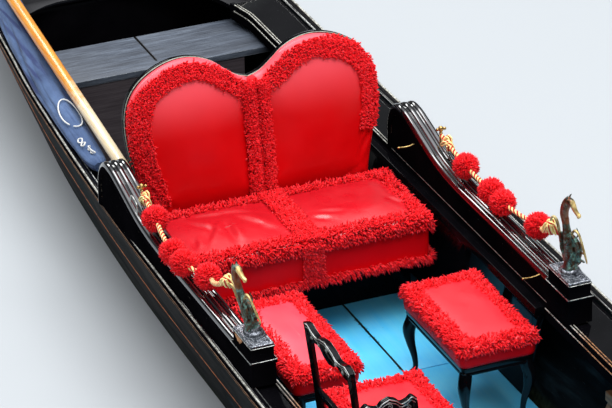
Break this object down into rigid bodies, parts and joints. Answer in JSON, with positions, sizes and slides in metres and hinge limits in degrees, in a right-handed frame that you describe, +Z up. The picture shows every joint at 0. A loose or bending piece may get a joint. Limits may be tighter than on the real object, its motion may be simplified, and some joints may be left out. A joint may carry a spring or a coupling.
{
  "type": "gondola boat",
  "caption": "Long narrow black rowed gondola with a double red settee, small chairs, sea-horse arm rests, irons at bow and stern and its oar laid along the side.",
  "frame": {"origin": "the waterline amidships, on the line from the stem to the sternpost", "axes": "+X forward to the bow, +Y to port, +Z up"},
  "size_m": [10.8261, 1.4542, 1.885],
  "materials": {
    "black_lacquer": "gloss",
    "worn_black_boards": "matt",
    "timber": "matt",
    "blue_paint": "satin",
    "red_leather": "satin",
    "red_pile": "matt",
    "polished_iron": "satin",
    "weathered_bronze": "matt",
    "varnished_wood": "gloss",
    "walnut": "satin",
    "blue_canvas": "matt",
    "gold_cord": "satin"
  },
  "bodies": {
    "boat": {"hull_bottom_aft": "timber", "hull_bottom_mid": "timber", "hull_bottom_fore": "timber", "framing": "timber", "hull_side_port_aft": "black_lacquer", "hull_side_port_mid": "black_lacquer", "hull_side_port_fore": "black_lacquer", "hull_side_starboard_aft": "black_lacquer", "hull_side_starboard_mid": "black_lacquer", "hull_side_starboard_fore": "black_lacquer", "stem_post": "black_lacquer", "stern_post": "black_lacquer", "fore_deck": "black_lacquer", "aft_deck": "black_lacquer", "side_deck_port": "black_lacquer", "side_deck_starboard": "black_lacquer", "rubbing_strake_port": "black_lacquer", "rubbing_strake_starboard": "black_lacquer", "lining_port": "black_lacquer", "lining_starboard": "black_lacquer", "fore_bulkhead": "black_lacquer", "aft_bulkhead": "black_lacquer", "fore_thwart": "black_lacquer", "settee_base": "black_lacquer", "settee_back_shell": "black_lacquer", "arm_port": "black_lacquer", "arm_starboard": "black_lacquer", "chair_1_frame": "black_lacquer", "chair_2_frame": "black_lacquer", "chair_3_frame": "black_lacquer", "chair_4_frame": "black_lacquer", "floor_starboard": "blue_paint", "floor_port_aft": "blue_paint", "floor_port_fore": "blue_paint", "stepping_platform": "worn_black_boards", "bow_iron": "polished_iron", "stern_iron": "polished_iron", "forcola_block": "walnut", "forcola": "walnut", "oar": "varnished_wood", "settee_back_pad_port": "red_leather", "settee_back_pad_starboard": "red_leather", "seat_cushion_port": "red_leather", "seat_cushion_starboard": "red_leather", "chair_1_cushion": "red_leather", "chair_2_cushion": "red_leather", "chair_3_cushion": "red_leather", "chair_4_cushion": "red_leather", "seahorse_port": "weathered_bronze", "seahorse_starboard": "weathered_bronze", "garland_cord_port": "gold_cord", "garland_cord_starboard": "gold_cord", "pompom_port_1": "red_pile", "pompom_port_2": "red_pile", "pompom_port_3": "red_pile", "pompom_starboard_1": "red_pile", "pompom_starboard_2": "red_pile", "pompom_starboard_3": "red_pile", "cover_roll": "blue_canvas"},
    "locker_door": {"locker_door": "black_lacquer"}
  },
  "joints": [
    {"name": "locker_door_hinge", "type": "hinge", "parent": "boat", "child": "locker_door", "pos_m": [1.912, 0.226, 0.2], "axis": [0, 0, -1], "range_deg": [0, 100]}
  ]
}
